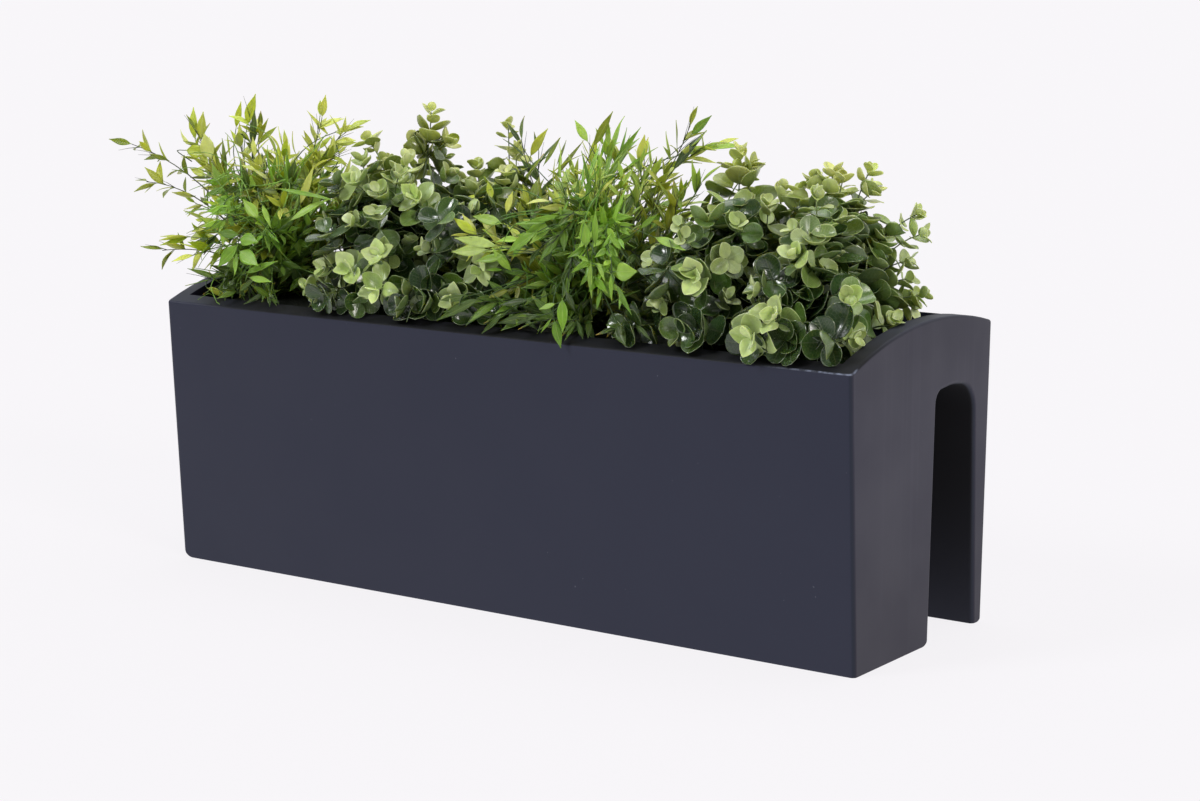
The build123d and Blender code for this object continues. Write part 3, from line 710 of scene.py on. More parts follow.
# Each bush: its foot in the foam, the rounded block that its crown fills
# (x0, x1, y0, y1, top), how many shoots fill it, and its own named shoots: tip,
# direction at the tip, leafy length, size and then the kind of shoot.
BUSHES = {
    "bamboo_left": dict(
        kind="lance", foot=(-335, -40), box=(-440, -258, -108, 92, 428), fill=84, wide=1.0,
        hues=("yellow", "olive", "olive", "green", "green", "dark", "dark"),
        top=("pale", "pale", "yellow", "olive"),
        low=(-352, -270, 5, "dark"),
        threads=([((-345, -80, 300), (-350, -80, 400)), ((-320, -80, 300), (-290, -70, 400))], 80, lin(128, 174, 66)),
        tufts=[
            ((-300, -70, 310), (-296, -50, 400), 20, "green"),
            ((-372, -60, 330), (-392, -50, 410), 14, "olive"),
        ],
        singles=[
            ((-285, -116, 359), (-297, -124, 377), 0.50, "green"),
            ((-305, -122, 342), (-332, -128, 343), 0.34, "green"),
            ((-305, -122, 338), (-282, -126, 338), 0.62, "green"),
            ((-305, -124, 332), (-326, -132, 311), 0.46, "green"),
            ((-304, -124, 326), (-277, -132, 317), 0.52, "green"),
            ((-308, -124, 325), (-304, -132, 304), 0.24, "green"),
            ((-340, -112, 353), (-358, -118, 345), 0.36, "green"),
            ((-286, -110, 373), (-270, -116, 353), 0.22, "green"),
            ((-302, -118, 303), (-264, -124, 319), 0.17, "green"),
            ((-297, -118, 299), (-263, -126, 299), 0.22, "green"),
            ((-311, -118, 284), (-290, -122, 299), 0.20, "dark"),
            ((-360, -112, 283), (-328, -120, 278), 0.28, "olive"),
            ((-258, -100, 356), (-224, -90, 382), 0.20, "green"),
            ((-279, -96, 386), (-205, -100, 387), 0.07, "green"),
            ((-262, -80, 371), (-245, -80, 407), 0.20, "pale"),
            ((-320, -60, 391), (-308, -60, 412), 0.22, "green"),
            ((-440, -40, 425), (-447, -40, 458), 0.30, "yellow"),
            ((-404, 0, 439), (-394, 0, 471), 0.34, "yellow"),
            ((-420, 0, 436), (-412, 0, 463), 0.26, "yellow"),
            ((-394, -4, 417), (-390, -4, 454), 0.22, "dark"),
            ((-386, -4, 423), (-373, -4, 447), 0.20, "olive"),
            ((-395, -6, 423), (-412, -6, 437), 0.26, "dark"),
            ((-318, 20, 450), (-313, 20, 472), 0.36, "yellow"),
            ((-299, 20, 436), (-269, 20, 445), 0.24, "pale"),
            ((-308, 20, 431), (-337, 20, 455), 0.12, "yellow"),
            ((-399, -60, 408), (-409, -60, 433), 0.62, "pale"),
            ((-435, -60, 416), (-403, -64, 416), 0.42, "yellow"),
            ((-398, -70, 392), (-419, -72, 399), 0.34, "yellow"),
        ],
        shoots=[
            ((-519, -80, 426), (-1, -0.1, 0.22), 80, 0.95, "olive", dict(dense=0.75)),
            ((-500, -80, 382), (-1, -0.1, -0.02), 85, 0.95, "olive", dict(dense=0.8)),
            ((-470, -92, 310), (-1, -0.2, -0.15), 70, 0.95, "olive", dict(dense=0.8)),
            ((-450, -42, 458), (-0.5, 0, 0.9), 70, 0.95, "olive", dict(dense=0.8)),
            ((-400, 0, 474), (0, 0, 1), 70, 0.9, "pale"),
            ((-386, 5, 460), (0.2, 0, 1), 50, 0.8, "olive"),
            ((-410, -10, 448), (-0.2, 0, 1), 60, 0.9, "pale"),
            ((-316, 20, 476), (0.1, 0.1, 1), 45, 0.85, "pale", dict(dense=0.7)),
            ((-262, 20, 450), (0.8, 0, 0.45), 90, 0.95, "pale"),
            ((-300, 10, 438), (0.5, 0, 0.7), 80, 0.95, "yellow"),
            ((-284, 14, 434), (0.6, 0, 0.5), 90, 0.95, "yellow"),
            ((-262, 0, 424), (0.8, -0.2, 0.3), 70, 0.95, "pale"),
            ((-462, -40, 438), (-0.6, 0, 0.7), 60, 0.9, "pale"),
            ((-438, -30, 424), (-0.4, 0, 0.9), 60, 0.95, "pale"),
            ((-416, -40, 416), (-0.3, 0, 0.9), 60, 0.95, "yellow"),
            ((-390, -20, 414), (0, 0, 1), 60, 0.95, "pale"),
            ((-452, -60, 366), (-0.9, -0.2, 0.2), 60, 0.95, "yellow"),
            ((-452, -88, 326), (-1, -0.3, -0.1), 55, 0.95, "yellow"),
            ((-336, -116, 322), (0.2, -0.35, -0.9), 55, 0.85, "green", dict(rise=2.0, face=0.6)),
            ((-332, -118, 358), (0.5, -0.6, -0.3), 50, 1.0, "green", dict(wide=1.3, rise=1.6, face=0.7, dense=0.8)),
            ((-372, -108, 372), (-0.4, -0.7, 0.3), 50, 0.85, "yellow", dict(rise=1.0, face=0.3)),
            ((-410, -112, 306), (-0.7, -0.6, -0.3), 60, 1.0, "yellow", dict(rise=1.3, face=0.5)),
            ((-398, -108, 338), (-0.7, -0.6, -0.1), 60, 0.85, "yellow", dict(rise=1.2, face=0.4)),
            ((-440, -60, 345), (-1, -0.2, 0.1), 60, 0.95, "yellow"),
            ((-290, -112, 330), (0.4, -0.7, -0.4), 60, 1.0, "green", dict(rise=1.5, face=0.6, wide=0.8)),
            ((-276, -100, 362), (0.4, -0.7, -0.1), 60, 1.0, "yellow", dict(rise=1.3, face=0.5, wide=0.9)),
        ],
    ),
    "eucalyptus_left": dict(
        kind="round", foot=(-172, -45), box=(-256, -100, -124, 96, 428), fill=50,
        low=(-200, -108, 4, 0.1),
        shoots=[
            ((-173, 20, 470), (0.05, 0, 1), 42, 0.9, 0.8, False),
            ((-198, 14, 436), (-0.8, 0, 0.5), 30, 1.0, 0.3, False),
            ((-150, 24, 434), (0.9, 0, 0.4), 36, 1.1, 0.1, False),
            ((-127, -70, 388), (0.1, -0.9, 0.45), 70, 1.05, 0.5, True),
            ((-199, -78, 400), (-0.2, -0.8, 0.55), 70, 1.0, 0.5, True),
            ((-170, -122, 318), (-0.2, -1, 0.15), 60, 1.15, 0.8, True),
            ((-139, -112, 331), (0.2, -1, 0.25), 60, 1.05, 0.4, True),
            ((-128, -128, 298), (0.15, -1, -0.2), 55, 1.15, 0.4, True),
            ((-215, -114, 317), (-0.4, -0.9, 0.2), 50, 0.85, 0.9, False),
            ((-240, -110, 292), (-0.6, -0.8, -0.1), 45, 0.8, 0.9, False),
            ((-236, -10, 438), (-0.6, -0.2, 0.8), 60, 0.9, 0.9, True),
            ((-184, -98, 362), (-0.2, -1, 0.3), 55, 1.05, 0.3, False),
        ],
    ),
    "eucalyptus_middle": dict(
        kind="round", foot=(-60, -15), box=(-108, -16, -122, 96, 414), fill=30,
        low=(-88, -30, 3, 0.1),
        shoots=[
            ((-47, -94, 342), (0, -1, 0.3), 60, 1.0, 0.6, True),
            ((-21, -104, 328), (0.3, -1, 0.1), 55, 0.95, 0.6, True),
            ((-40, -122, 296), (0.1, -1, -0.1), 50, 1.0, 0.5, True),
            ((-107, 60, 456), (-0.1, 0.1, 1), 80, 0.85, 0.9, False),
            ((-82, 40, 434), (0, 0, 1), 60, 0.9, 0.7, False),
            ((-126, 30, 416), (-0.2, 0, 1), 50, 0.95, 0.5, False),
            ((-60, -70, 378), (0, -0.8, 0.5), 60, 0.95, 0.5, False),
        ],
    ),
    "bamboo_middle": dict(
        kind="lance", foot=(62, -45), box=(-30, 160, -118, 96, 428), fill=84, wide=0.9,
        hues=("green", "green", "olive", "dark", "dark", "dark"),
        top=("fresh", "pale", "fresh", "olive"),
        low=(-30, 155, 9, "dark"),
        threads=([((30, -80, 320), (40, -80, 400)), ((80, -80, 300), (90, -80, 400))], 26, lin(100, 150, 50)),
        tufts=[
            ((86, -98, 322), (84, -74, 410), 30, "green"),
            ((112, -100, 300), (112, -80, 372), 14, "green"),
            ((60, -20, 396), (62, 0, 428), 16, "green"),
            ((10, -60, 360), (4, -20, 420), 14, "olive"),
        ],
        singles=[
            ((93, -138, 292), (102, -142, 269), 0.36, "green"),
            ((99, -134, 312), (104, -140, 283), 0.34, "green"),
            ((92, -134, 306), (78, -140, 301), 0.36, "green"),
            ((89, -136, 293), (80, -140, 280), 0.15, "green"),
            ((99, -128, 317), (112, -134, 304), 0.30, "dark"),
            ((55, -112, 367), (28, -124, 349), 0.32, "green"),
            ((75, -104, 383), (43, -112, 376), 0.17, "green"),
            ((16, -118, 351), (-36, -122, 359), 0.20, "fresh"),
            ((5, -120, 348), (-33, -124, 344), 0.30, "fresh"),
            ((23, -118, 344), (-6, -124, 337), 0.26, "green"),
            ((7, -100, 370), (-26, -104, 378), 0.30, "fresh"),
            ((-21, -80, 391), (-26, -80, 406), 0.42, "yellow"),
            ((-1, -84, 378), (1, -80, 398), 0.34, "yellow"),
            ((19, -90, 368), (17, -84, 391), 0.24, "olive"),
            ((-57, 30, 421), (-41, 30, 448), 0.30, "olive"),
            ((-75, 40, 430), (-92, 40, 454), 0.17, "dark"),
            ((34, 0, 441), (18, 0, 461), 0.32, "fresh"),
            ((40, 0, 437), (61, 0, 470), 0.22, "olive"),
            ((86, 10, 421), (91, 10, 449), 0.34, "yellow"),
            ((131, 30, 450), (151, 30, 469), 0.30, "green"),
            ((132, 35, 435), (180, 35, 448), 0.19, "fresh"),
            ((117, 20, 416), (145, 24, 455), 0.20, "dark"),
            ((115, -118, 358), (115, -124, 382), 0.42, "green"),
            ((122, -114, 358), (122, -116, 389), 0.20, "green"),
            ((151, -116, 357), (143, -122, 370), 0.48, "green"),
            ((149, -120, 338), (172, -126, 341), 0.72, "green"),
            ((123, -122, 346), (125, -130, 315), 0.17, "green"),
            ((121, -122, 345), (112, -128, 351), 0.30, "green"),
            ((130, -122, 346), (141, -128, 331), 0.20, "green"),
            ((151, -122, 326), (170, -130, 304), 0.18, "green"),
            ((145, -122, 336), (149, -130, 314), 0.16, "green"),
            ((157, -122, 322), (159, -130, 307), 0.20, "green"),
            ((153, -124, 290), (167, -132, 275), 0.50, "dark"),
            ((0, -126, 302), (-47, -134, 281), 0.22, "dark"),
            ((27, -128, 290), (7, -136, 273), 0.26, "dark"),
            ((71, -128, 293), (20, -136, 283), 0.18, "dark"),
            ((-15, -124, 304), (-46, -130, 298), 0.22, "dark"),
            ((55, -124, 305), (25, -130, 299), 0.24, "dark"),
            ((177, -100, 369), (213, -108, 361), 0.24, "green"),
            ((156, -92, 375), (175, -96, 388), 0.22, "green"),
        ],
        shoots=[
            ((57, 0, 462), (0, 0, 1), 75, 0.85, "fresh", dict(dense=0.8)),
            ((40, 6, 462), (-0.3, 0, 1), 60, 0.9, "fresh"),
            ((13, 20, 450), (-0.3, 0, 1), 60, 0.95, "pale"),
            ((29, 10, 440), (-0.2, 0, 1), 60, 1.0, "yellow"),
            ((-7, 30, 424), (-0.3, 0, 1), 60, 1.05, "olive"),
            ((-30, 40, 434), (-0.2, 0, 1), 60, 1.0, "fresh"),
            ((-52, 40, 450), (0.1, 0, 1), 60, 1.0, "dark", dict(dense=0.7)),
            ((-81, 40, 460), (-0.3, 0.1, 1), 70, 1.0, "dark", dict(dense=0.7)),
            ((139, 30, 482), (0.35, 0.1, 1), 80, 0.95, "olive", dict(dense=0.75)),
            ((150, 30, 450), (0.9, 0.1, 0.5), 70, 1.0, "fresh"),
            ((178, 40, 450), (1, 0.1, 0.3), 80, 0.95, "pale", dict(dense=0.7)),
            ((135, 30, 422), (0.4, 0, 0.9), 55, 0.95, "yellow", dict(dense=0.8)),
            ((156, 30, 426), (0.5, 0, 0.8), 60, 1.0, "fresh"),
            ((82, 20, 450), (-0.1, 0, 1), 30, 0.9, "yellow", dict(dense=0.6)),
            ((110, 20, 438), (0.1, 0, 1), 50, 0.9, "pale", dict(dense=0.7)),
            ((-70, 10, 426), (-0.5, -0.1, 0.8), 80, 1.0, "olive"),
            ((-95, -30, 392), (-0.9, -0.4, 0.3), 80, 1.0, "yellow", dict(face=0.4)),
            ((92, -126, 306), (-0.1, -0.3, -0.95), 40, 0.75, "dark", dict(rise=2.0, face=0.7)),
            ((124, -128, 304), (0.1, -0.35, -0.95), 60, 0.72, "green", dict(rise=2.2, face=0.8, dense=1.1)),
            ((138, -126, 298), (0.3, -0.35, -0.9), 60, 0.72, "green", dict(rise=2.0, face=0.8, dense=1.1)),
            ((150, -122, 316), (0.4, -0.35, -0.8), 60, 0.75, "green", dict(rise=2.0, face=0.8, dense=1.1)),
            ((112, -122, 330), (0.1, -0.5, -0.85), 60, 0.75, "green", dict(rise=2.0, face=0.8, dense=1.1)),
            ((130, -116, 346), (0.3, -0.6, -0.6), 60, 0.8, "green", dict(rise=1.6, face=0.7)),
            ((148, -112, 352), (0.5, -0.6, -0.5), 60, 0.8, "green", dict(rise=1.6, face=0.7)),
            ((70, -114, 372), (-0.3, -0.8, -0.4), 70, 0.95, "dark", dict(rise=1.6, face=0.6)),
            ((60, -120, 340), (-0.3, -0.6, -0.7), 70, 0.95, "dark", dict(rise=1.9, face=0.6)),
            ((40, -116, 336), (-0.4, -0.6, -0.6), 70, 0.95, "dark", dict(rise=1.8, face=0.6)),
            ((30, -110, 368), (-0.7, -0.7, -0.2), 80, 1.05, "green", dict(rise=1.4, face=0.7, wide=1.1)),
            ((6, -112, 350), (-0.8, -0.5, -0.3), 80, 1.05, "green", dict(rise=1.4, face=0.7, wide=1.1)),
            ((-30, -116, 350), (-1, -0.4, 0.0), 80, 1.05, "yellow", dict(rise=1.2, face=0.6, wide=0.9)),
            ((-54, -112, 362), (-1, -0.4, 0.15), 60, 0.95, "yellow", dict(rise=1.2, face=0.6, wide=0.9)),
            ((-10, -118, 326), (-1, -0.5, -0.1), 70, 1.0, "green", dict(face=0.6)),
            ((-24, -126, 298), (-1, -0.3, -0.05), 90, 1.15, "dark", dict(face=0.5)),
            ((4, -128, 288), (-1, -0.3, -0.1), 90, 1.15, "dark", dict(face=0.5)),
            ((44, -128, 284), (-0.9, -0.4, -0.1), 70, 1.15, "dark", dict(face=0.5)),
        ],
    ),
    "eucalyptus_right": dict(
        kind="round", foot=(205, -45), box=(152, 278, -124, 98, 414), fill=44,
        low=(174, 276, 4, 0.1),
        shoots=[
            ((229, -120, 340), (0, -1, 0.2), 60, 1.15, 0.6, True),
            ((188, 25, 444), (0.0, 0, 1), 45, 1.15, 0.9, False),
            ((178, 25, 428), (-0.7, 0, 0.6), 35, 1.0, 0.9, False),
            ((208, 25, 430), (0.7, 0, 0.6), 40, 1.05, 0.8, False),
            ((240, 20, 412), (0.2, 0, 1), 50, 1.0, 0.5, False),
            ((180, -70, 382), (-0.3, -0.7, 0.6), 70, 0.9, 0.6, False),
            ((186, -114, 312), (-0.3, -1, 0), 60, 0.95, 0.4, False),
            ((250, -80, 387), (0.2, -0.8, 0.6), 70, 1.1, 0.2, False),
            ((165, -96, 350), (-0.4, -1, 0.2), 60, 0.9, 0.6, False),
        ],
    ),
    "eucalyptus_end": dict(
        kind="round", foot=(325, -30), box=(260, 366, -122, 84, 412), fill=38,
        low=(288, 352, 4, 0.1),
        shoots=[
            ((302, -144, 292), (-0.1, -1, -0.25), 60, 1.2, 0.9, True),
            ((320, -136, 314), (0.2, -1, 0.1), 55, 1.1, 0.5, True),
            ((372, -92, 330), (0.4, -0.9, 0.2), 60, 1.1, 0.42, False),
            ((317, -94, 366), (0.1, -0.9, 0.5), 70, 1.15, 0.2, False),
            ((256, 20, 414), (0, 0, 1), 50, 1.0, 0.8, False),
            ((272, 20, 424), (0, 0, 1), 50, 1.0, 0.6, False),
            ((290, 20, 432), (0, 0, 1), 50, 1.0, 0.8, False),
            ((303, 20, 424), (0.3, 0, 1), 50, 1.0, 0.6, False),
            ((321, 40, 432), (0.4, 0.2, 0.9), 60, 0.95, 0.9, False),
            ((330, 40, 414), (0.6, 0.2, 0.5), 50, 0.95, 0.7, False),
            ((366, 60, 392), (0.9, 0.3, 0.5), 70, 0.80, 1.0, False),
            ((370, 60, 372), (0.9, 0.2, 0.3), 50, 0.85, 0.9, False),
            ((358, 60, 346), (0.9, 0.2, 0.2), 50, 0.9, 0.9, False),
            ((366, 40, 332), (0.9, 0.0, 0.2), 50, 0.9, 0.7, False),
            ((372, 60, 314), (1, 0.2, 0.1), 60, 0.9, 0.9, False),
            ((360, 60, 302), (0.9, -0.2, 0.0), 50, 0.9, 0.7, False),
            ((386, -22, 294), (0.95, -0.3, -0.1), 75, 0.85, 1.0, False),
            ((338, 40, 372), (0.6, 0, 0.7), 50, 0.9, 0.7, False),
            ((382, -84, 292), (0.95, -0.3, 0.05), 60, 0.8, 1.0, False),
        ],
    ),
}


def leaf_material(name, rim, under, rough):
    """Coated leaf: own tint, paler midrib and veins, pale rim, mottling."""
    s = Mat(name)
    uv = s.node("ShaderNodeUVMap", uv_map="leaf")
    sep = s.node("ShaderNodeSeparateXYZ")
    s.put(sep.inputs[0], uv.outputs[0])
    a = s.math("ABSOLUTE", s.math("SUBTRACT", s.math("MULTIPLY", sep.outputs[0], 2.0), 1.0))
    v = sep.outputs[1]
    tint = s.node("ShaderNodeAttribute", attribute_name="tint").outputs["Color"]
    age = s.node("ShaderNodeAttribute", attribute_name="age").outputs["Fac"]
    low = s.node("ShaderNodeAttribute", attribute_name="under").outputs["Fac"]
    p = s.coords()
    mott = s.noise(p, 160.0, 4.0, 0.6)
    rib = s.ramp(a, 0.0, 0.09, 1.0, 0.0)
    wave = s.math("SINE", s.math("ADD", s.math("MULTIPLY", v, 62.0 if rim else 8.0), s.math("MULTIPLY", a, -14.0 if rim else 40.0)))
    vein = s.math("MULTIPLY", s.ramp(wave, 0.82, 1.0), s.ramp(a, 0.75, 0.95, 1.0, 0.0))
    light = s.mix(0.6, tint, rgb(206, 216, 168) if rim else rgb(196, 210, 130))
    young = s.ramp(age, 0.2, 0.9, 0.14, 0.6) if rim else 0.45
    c = s.mix(s.math("MULTIPLY", rib, young), tint, light)
    c = s.mix(s.math("MULTIPLY", vein, s.math("MULTIPLY", young, 0.5)), c, light)
    if rim:
        net = s.node("ShaderNodeTexVoronoi", feature="DISTANCE_TO_EDGE")
        s.put(net.inputs["Vector"], p)
        net.inputs["Scale"].default_value = 330.0
        mesh = s.math("MULTIPLY", s.ramp(net.outputs["Distance"], 0.0, 0.12, 1.0, 0.0), s.ramp(age, 0.0, 1.0, 0.10, 0.40))
        c = s.mix(s.math("MULTIPLY", mesh, 0.7), c, light)
        edge = s.ramp(a, 0.92, 1.0)
        edge = s.math("MAXIMUM", edge, s.ramp(v, 0.975, 1.0))
        c = s.mix(s.math("MULTIPLY", edge, s.ramp(age, 0.1, 0.8, 0.26, 0.8)), c, light)
        c = s.mix(s.ramp(a, 0.0, 0.7, 0.22, 0.0), c, s.mix(1.0, c, rgb(170, 190, 170), "MULTIPLY"))
    else:
        # browned tips on some leaves
        tip = s.math("MULTIPLY", s.ramp(v, 0.72, 1.0, 0.0, 0.8), s.ramp(age, 0.66, 0.95))
        c = s.mix(tip, c, rgb(168, 138, 58))
        foot = s.ramp(v, 0.0, 0.22, 0.4, 0.0)
        c = s.mix(foot, c, rgb(60, 92, 34))
    c = s.mix(s.ramp(mott, 0.25, 0.75, 0.0, 0.30), c, s.mix(1.0, c, rgb(150, 150, 140), "MULTIPLY"))
    c = s.mix(s.math("MULTIPLY", low, under), c, s.mix(0.4, c, rgb(150, 168, 110)))
    s.set(Base_Color=c)
    r = s.ramp(s.noise(p, 55.0, 2.0), 0.3, 0.7, rough - 0.05, rough + 0.07)
    s.set(Roughness=s.math("ADD", r, s.math("MULTIPLY", age, 0.20 if rim else 0.05)))
    s.b.inputs["Specular IOR Level"].default_value = 0.72 if rim else 0.42
    s.b.inputs["Subsurface Weight"].default_value = 0.30 if rim else 0.52
    s.b.inputs["Subsurface Radius"].default_value = (1.1, 1.0, 0.22)
    s.b.inputs["Subsurface Scale"].default_value = 0.0016
    h = s.math("ADD", s.math("MULTIPLY", rib, -0.6), s.math("MULTIPLY", vein, -0.3))
    h = s.math("ADD", h, s.math("MULTIPLY", mott, 0.35))
    s.set(Normal=s.bump(h, 0.35, 0.0006))
    return s.m


def stem_material():
    s = Mat("moulded_stem")
    tint = s.node("ShaderNodeAttribute", attribute_name="tint").outputs["Color"]
    p = s.coords()
    n = s.noise(p, 220.0, 3.0)
    c = s.mix(s.ramp(n, 0.3, 0.7), tint, s.mix(1.0, tint, rgb(170, 168, 140), "MULTIPLY"))
    s.set(Base_Color=c, Roughness=0.5)
    s.set(Normal=s.bump(n, 0.2, 0.0004))
    return s.m


m_round = leaf_material("eucalyptus_leaf", True, 0.4, 0.19)
m_lance = leaf_material("bamboo_leaf", False, 0.3, 0.33)
m_stem = stem_material()

for bi, (name, b) in enumerate(BUSHES.items()):
    rng = np.random.default_rng(1000 + bi)
    leaves, stems = Leaves(b["kind"]), Stems()
    foot = b["foot"]
    fz = float(foam_z(foot[1]))
    # the pick in the foam and its collar
    stems.add([(foot[0], foot[1], fz - 68), (foot[0], foot[1], fz - 20), (foot[0], foot[1], fz + 4)], 2.4, 4.6, lin(70, 92, 52))
    stems.add([(foot[0], foot[1], fz + 4), (foot[0], foot[1], fz + 9), (foot[0], foot[1], fz + 13)], 4.8, 2.6, lin(70, 92, 52))
    for sh in b["shoots"]:
        back = 9.0 if b["kind"] == "round" else 24.0
        if b["kind"] == "round":
            path = branch(foot, np.array(sh[0]) - unit(sh[1]) * back, sh[1], rng)
            euc_sprig(leaves, stems, rng, path, sh[2], sh[3], sh[4], sh[5])
        else:
            o = sh[5] if len(sh) > 5 else {}
            path = branch(foot, np.array(sh[0]) - unit(sh[1]) * back, sh[1], rng, rise=o.get("rise", 0.55))
            bam_sprig(
                leaves, stems, rng, path, sh[2], sh[3], sh[4], 3, o.get("wide", b["wide"]),
                o.get("dense", 1.0), face=o.get("face", 0.0),
            )
    for tip, out in even_tips(rng, b["box"], 296, b["fill"], [sh[0] for sh in b["shoots"]]):
        tip = tip - out * rng.uniform(0, 34)
        low = max(0.0, 1.0 - (tip[2] - 296) / 90)
        if name == "bamboo_left" and tip[0] < -340:
            tip[0] += 44 * low
        if name == "eucalyptus_end" and tip[0] > 318:
            tip[0] -= 16 + 22 * low
        if name == "eucalyptus_end":
            tip[2] -= 54 * float(np.clip((tip[0] - 305) / 50, 0, 1) * np.clip((tip[2] - 330) / 60, 0, 1))
        over = abs(tip[0]) > 372 or tip[1] > 108 or tip[1] < -112
        low = float(rim_z(tip[1])) + 8 if over else float(foam_z(tip[1])) + 16
        tip[2] = max(tip[2], low)
        high = tip[2] > 392 or tip[0] > 345
        front = tip[1] < -50 and tip[2] < 395
        # painted shade: leaves of fill shoots are darkened the lower their tips sit in the crown, front bamboo shoots a
        # little more
        shade_gain = 0.56 + 0.42 * float(np.clip((tip[2] - 290) / 120, 0, 1))
        if b["kind"] == "round":
            d = unit(out * 0.9 + np.array([0, 0, 0.30]) + rng.normal(size=3) * 0.28)
            path = branch(foot, tip, d, rng)
            young = rng.uniform(0.05, 0.30) if rng.random() < (0.45 if high else 0.84) else rng.uniform(0.45, 0.90)
            blunt = rng.uniform(10, 26) if rng.random() < (0.2 if high else 0.55) else 0.0
            if name == "eucalyptus_end" and tip[0] > 315:
                young, shade_gain = max(young, 0.62), max(shade_gain, 0.84)
            euc_sprig(leaves, stems, rng, path, rng.uniform(55, 85), rng.uniform(0.90, 1.08), young, False, blunt, shade_gain=shade_gain)
        else:
            up = -0.45 if front else 0.70
            shade_gain *= 0.90 if front else 1.0
            d = unit(out * (0.8 if front else 0.55) + np.array([0, 0, up]) + rng.normal(size=3) * 0.25)
            path = branch(foot, tip, d, rng, rise=1.5 if front else 0.55)
            hue = b["hues"][rng.integers(len(b["hues"]))]
            if high:
                hue = b["top"][rng.integers(4)]
            bam_sprig(
                leaves, stems, rng, path, rng.uniform(75, 120), rng.uniform(0.82, 1.04), hue,
                int(rng.integers(0, 4)), b["wide"], shade_gain=shade_gain, face=0.45 if front else 0.0,
            )
    # short shoots that lean on the front rim, their leaves darkened as painted shade
    x0, x1, n_low, what = b["low"]
    for x in np.linspace(x0, x1, n_low):
        tip = np.array([x + rng.normal() * 9, rng.uniform(-127, -112), rng.uniform(281, 297)])
        d = unit([rng.normal() * 0.5, -0.9, rng.uniform(-0.25, 0.15)])
        if b["kind"] == "round":
            path = branch(foot, tip, d, rng)
            euc_sprig(leaves, stems, rng, path, 42, rng.uniform(0.85, 1.1), what, False, rng.uniform(8, 24), shade_gain=0.66)
        else:
            d = unit([d[0] * 2.2, -0.6, d[2]])
            path = branch(foot, tip, d, rng)
            bam_sprig(leaves, stems, rng, path, 45, rng.uniform(0.85, 1.0), what, 2, b["wide"] * 0.7, shade_gain=0.8)
    for t in b.get("tufts", ()):
        tuft(leaves, rng, *t)
    for t in b.get("singles", ()):
        single(leaves, rng, *t)
        foot_of = branch(foot, t[0], unit(np.array(t[1], float) - t[0]), rng, rise=1.2)
        stems.add(foot_of[-6:], 0.6, 0.4, lin(70, 100, 48))
    if "threads" in b:
        threads(stems, rng, *b["threads"])
    lo = leaves.build(name + "_leaves", m_round if b["kind"] == "round" else m_lance, 50 + bi)
    so = stems.build(name + "_sprays", m_stem)
    for o, node, slot in (
        (lo, name + "_foliage", ("eucalyptus" if b["kind"] == "round" else "bamboo") + "_leaf"),
        (so, name + "_stems", ("eucalyptus" if b["kind"] == "round" else "bamboo") + "_stem"),
    ):
        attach(o, "planting")
        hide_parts(node)

# ------------------------------------------------------------------ floor, light
me = bpy.data.meshes.new("floor")
R = 60.0
me.from_pydata([(-R, -R, 0), (R, -R, 0), (R, R, 0), (-R, R, 0)], [], [(0, 1, 2, 3)])
floor = bpy.data.objects.new("floor", me)
bpy.context.scene.collection.objects.link(floor)
fl = Mat("floor_paper")
fl.set(Base_Color=(0.062, 0.061, 0.063, 1.0), Roughness=0.95)
fl.b.inputs["Specular IOR Level"].default_value = 0.0
fl.b.inputs["Emission Color"].default_value = (0.985, 0.967, 0.993, 1.0)
fl.b.inputs["Emission Strength"].default_value = 0.868
me.materials.append(fl.m)

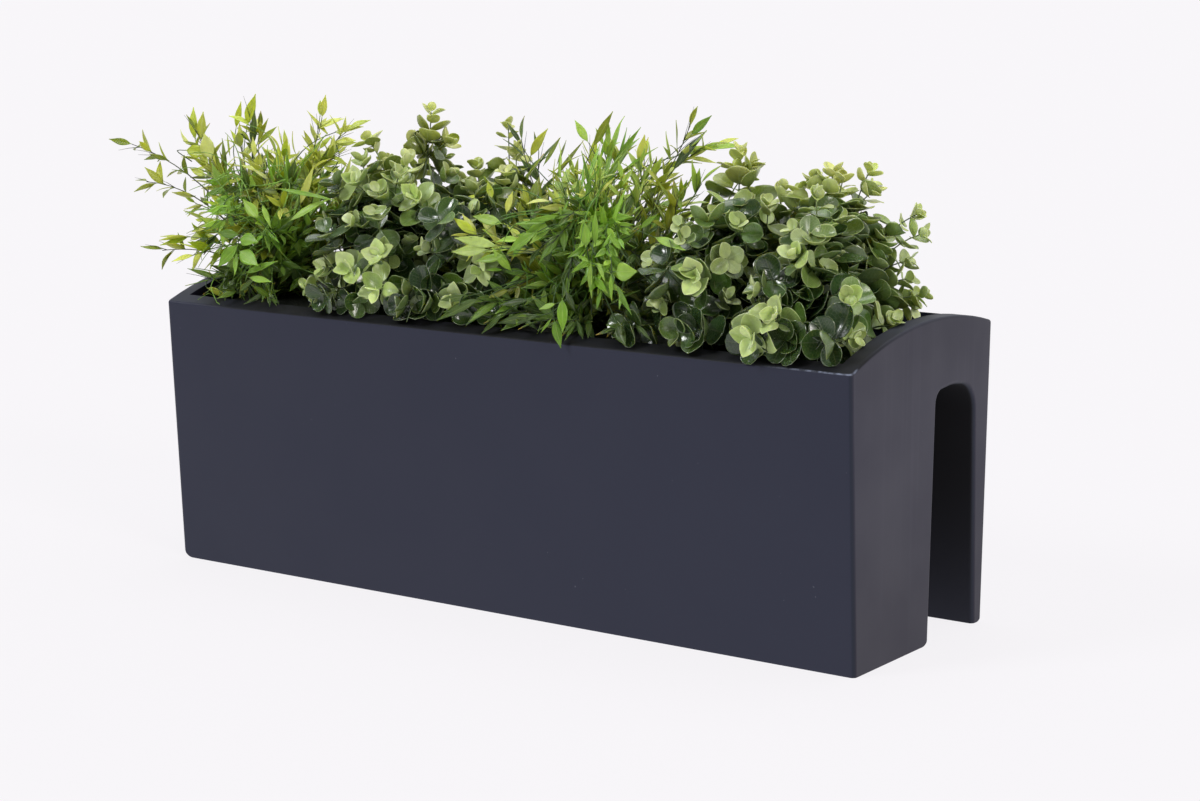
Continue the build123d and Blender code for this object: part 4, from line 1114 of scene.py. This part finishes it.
# a low wall of the same paper far away hides the horizon in level views; it
# neither lights nor shades the object
ring = [(50.0 * math.cos(a), 50.0 * math.sin(a)) for a in np.linspace(0, 2 * math.pi, 97)[:-1]]
wm = bpy.data.meshes.new("backdrop")
wm.from_pydata(
    [(x, y, -0.01) for x, y in ring] + [(x, y, 11.0) for x, y in ring], [],
    [(i, (i + 1) % 96, (i + 1) % 96 + 96, i + 96) for i in range(96)],
)
wm.materials.append(fl.m)
backdrop = bpy.data.objects.new("backdrop", wm)
bpy.context.scene.collection.objects.link(backdrop)
backdrop.visible_diffuse = False
backdrop.visible_glossy = False
backdrop.visible_transmission = False
backdrop.visible_volume_scatter = False
backdrop.visible_shadow = False

world = bpy.data.worlds.new("studio")
world.use_nodes = True
wt = world.node_tree
bg = wt.nodes["Background"]
tc = wt.nodes.new("ShaderNodeTexCoord")
sx = wt.nodes.new("ShaderNodeSeparateXYZ")
mr = wt.nodes.new("ShaderNodeMapRange")
mr.interpolation_type = "SMOOTHSTEP"
for i, v in ((1, -0.6), (2, 0.7), (3, 0.16), (4, 0.92)):
    mr.inputs[i].default_value = v
wt.links.new(tc.outputs["Generated"], sx.inputs[0])
wt.links.new(sx.outputs[1], mr.inputs[0])
wt.links.new(mr.outputs[0], bg.inputs[1])
bg.inputs[0].default_value = (0.97, 0.98, 1.0, 1.0)
bpy.context.scene.world = world


def softbox(name, direction, strength, angle, colour=(1, 1, 1)):
    """A far softbox that looks angle degrees wide from the object."""
    d = bpy.data.lights.new(name, "SUN")
    d.energy = strength
    d.angle = math.radians(angle)
    d.color = colour
    o = bpy.data.objects.new(name, d)
    v = unit(direction)
    o.location = v * 3.0
    o.rotation_euler = (math.acos(v[2]), 0.0, math.atan2(v[1], v[0]) + math.pi / 2)
    bpy.context.scene.collection.objects.link(o)
    return o


softbox("softbox_left", (-1.3, -2.0, 1.9), 1.7, 18.0, (0.97, 0.98, 1.0))
softbox("softbox_right", (2.5, -0.9, 1.3), 1.5, 20.0, (1.0, 0.95, 0.92))
softbox("softbox_top", (-0.2, 0.6, 2.4), 1.1, 40.0)
